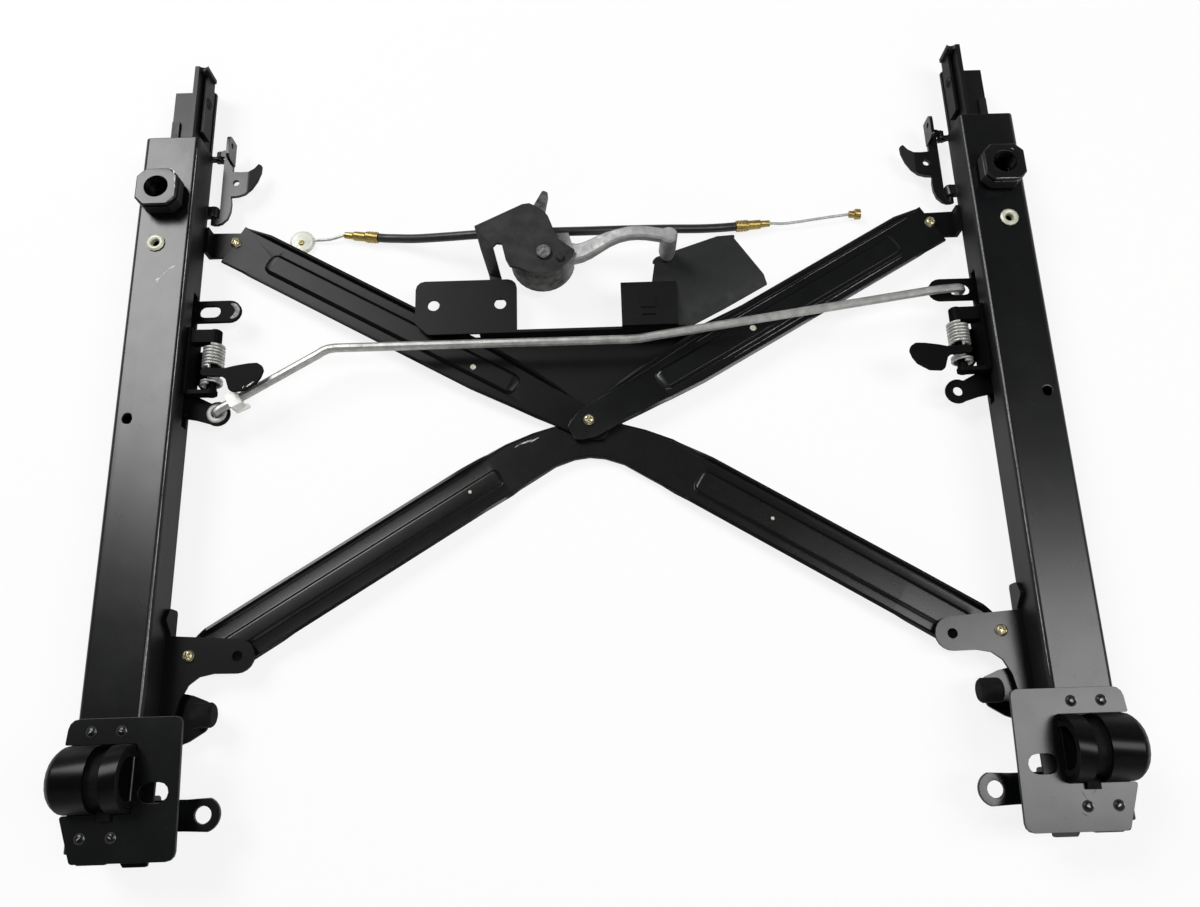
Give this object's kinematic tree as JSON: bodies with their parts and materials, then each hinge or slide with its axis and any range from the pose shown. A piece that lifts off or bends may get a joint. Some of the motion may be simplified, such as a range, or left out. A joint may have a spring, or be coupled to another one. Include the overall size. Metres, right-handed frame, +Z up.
{
  "type": "seat slide rail",
  "caption": "Pair of manual seat slide rails joined by a folded X brace, with toothed latches, a sync rod, a centre cast lever and a release cable",
  "frame": {"origin": "centre of the bounding box in X and Y, on the floor under the lower rails in Z", "axes": "+X runs across the seat from the left rail to the right one, +Y runs along the rails to the rear, +Z is up"},
  "size_m": [0.4928, 0.429, 0.0526],
  "materials": {
    "black_painted_steel": "satin black dip paint on pressed steel",
    "yellow_zinc_steel": "yellow passivated zinc",
    "bright_zinc_steel": "bright zinc plated",
    "cast_aluminium": "as cast",
    "turned_brass": "turned and crimped",
    "black_rubber": "moulded",
    "cable_sheath": "extruded sheath",
    "white_nylon": "moulded natural nylon",
    "black_nylon": "moulded black nylon"
  },
  "bodies": {
    "frame": {"upper_rail_left": "black_painted_steel", "upper_rail_right": "black_painted_steel", "rail_nut_left": "black_painted_steel", "rail_nut_right": "black_painted_steel", "eyelet_left": "bright_zinc_steel", "eyelet_right": "bright_zinc_steel", "head_plate_left": "black_painted_steel", "head_plate_right": "black_painted_steel", "saddle_left": "black_painted_steel", "saddle_right": "black_painted_steel", "saddle_liner_left": "black_nylon", "saddle_liner_right": "black_nylon", "ear_tab_left": "black_painted_steel", "ear_tab_right": "black_painted_steel", "ear_bracket_left": "black_painted_steel", "ear_bracket_right": "black_painted_steel", "buffer_left": "black_rubber", "buffer_right": "black_rubber", "ear_screw_left": "yellow_zinc_steel", "ear_screw_right": "yellow_zinc_steel", "brace_tab_left": "black_painted_steel", "brace_tab_right": "black_painted_steel", "arm_screw_left": "yellow_zinc_steel", "arm_screw_right": "yellow_zinc_steel", "brace_arm_left": "black_painted_steel", "brace_arm_right": "black_painted_steel", "brace_v": "black_painted_steel", "pivot_screw": "yellow_zinc_steel", "gusset": "black_painted_steel", "cable_bracket": "black_painted_steel", "lever_bracket": "black_painted_steel", "lever_pin": "bright_zinc_steel", "rocker_pin_left": "bright_zinc_steel", "rocker_pin_right": "bright_zinc_steel", "horn_bracket_left": "black_painted_steel", "horn_bracket_right": "black_painted_steel", "latch_spring_left": "bright_zinc_steel", "latch_spring_right": "bright_zinc_steel", "cable_sheath_left": "cable_sheath", "cable_sheath_right": "cable_sheath", "cable_wire_left": "bright_zinc_steel", "cable_wire_right": "bright_zinc_steel", "ferrule_left": "turned_brass", "ferrule_right": "turned_brass", "cable_disc": "white_nylon", "cable_nipple": "turned_brass"},
    "runner_left": {"lower_rail_left": "black_painted_steel"},
    "runner_right": {"lower_rail_right": "black_painted_steel"},
    "cage_left": {"ball_cage_left": "black_nylon"},
    "cage_right": {"ball_cage_right": "black_nylon"},
    "rocker_left": {"latch_rocker_left": "black_painted_steel"},
    "rocker_right": {"latch_rocker_right": "black_painted_steel"},
    "rod": {"sync_rod": "bright_zinc_steel", "rod_clip": "white_nylon"},
    "horn_left": {"horn_lever_left": "black_painted_steel"},
    "horn_right": {"horn_lever_right": "black_painted_steel"},
    "lock_left": {"rear_lock_lever_left": "black_painted_steel"},
    "lock_right": {"rear_lock_lever_right": "black_painted_steel"},
    "lever": {"centre_lever": "cast_aluminium"}
  },
  "joints": [
    {"name": "slide_left", "type": "slide", "parent": "frame", "child": "runner_left", "axis": [0, 1, 0], "range_m": [-0.026, 0.15]},
    {"name": "slide_right", "type": "slide", "parent": "frame", "child": "runner_right", "axis": [0, 1, 0], "range_m": [-0.026, 0.15]},
    {"name": "cage_slide_left", "type": "slide", "parent": "frame", "child": "cage_left", "axis": [0, 1, 0], "range_m": [-0.013, 0.075]},
    {"name": "cage_slide_right", "type": "slide", "parent": "frame", "child": "cage_right", "axis": [0, 1, 0], "range_m": [-0.013, 0.075]},
    {"name": "latch_left", "type": "hinge", "parent": "frame", "child": "rocker_left", "pos_m": [-0.2162, 0.0385, 0.0131], "axis": [0, 0, 1], "range_deg": [0, 5], "stiffness_Nm_per_rad": 0.4, "springref_deg": -5.73},
    {"name": "latch_right", "type": "hinge", "parent": "frame", "child": "rocker_right", "pos_m": [0.2162, 0.0385, 0.0131], "axis": [0, 0, 1], "range_deg": [-5, 0]},
    {"name": "rod_pivot", "type": "hinge", "parent": "rocker_left", "child": "rod", "pos_m": [-0.1962, 0.0061, 0.0131], "axis": [0, 0, 1], "range_deg": [-5, 0]},
    {"name": "horn_pivot_left", "type": "hinge", "parent": "frame", "child": "horn_left", "pos_m": [-0.199, 0.0269, 0.018], "axis": [0, -1, 0], "range_deg": [0, 10]},
    {"name": "horn_pivot_right", "type": "hinge", "parent": "frame", "child": "horn_right", "pos_m": [0.199, 0.0269, 0.018], "axis": [0, 1, 0], "range_deg": [0, 10]},
    {"name": "lock_pivot_left", "type": "hinge", "parent": "frame", "child": "lock_left", "pos_m": [-0.2096, 0.145, 0.009], "axis": [0, -1, 0], "range_deg": [0, 25], "stiffness_Nm_per_rad": 0.05, "springref_deg": -17.19},
    {"name": "lock_pivot_right", "type": "hinge", "parent": "frame", "child": "lock_right", "pos_m": [0.2096, 0.145, 0.009], "axis": [0, 1, 0], "range_deg": [0, 25], "stiffness_Nm_per_rad": 0.05, "springref_deg": -17.19},
    {"name": "lever_pivot", "type": "hinge", "parent": "frame", "child": "lever", "pos_m": [-0.0215, 0.0845, 0.02], "axis": [0, 0, 1], "range_deg": [-4, 4]}
  ],
  "couplings": [
    {"joint": "slide_right", "follows": "slide_left", "ratio": 1},
    {"joint": "cage_slide_left", "follows": "slide_left", "ratio": 0.5},
    {"joint": "cage_slide_right", "follows": "slide_left", "ratio": 0.5},
    {"joint": "latch_right", "follows": "latch_left", "ratio": -1},
    {"joint": "rod_pivot", "follows": "latch_left", "ratio": -1},
    {"joint": "horn_pivot_left", "follows": "latch_left", "ratio": 2},
    {"joint": "horn_pivot_right", "follows": "latch_left", "ratio": 2}
  ]
}
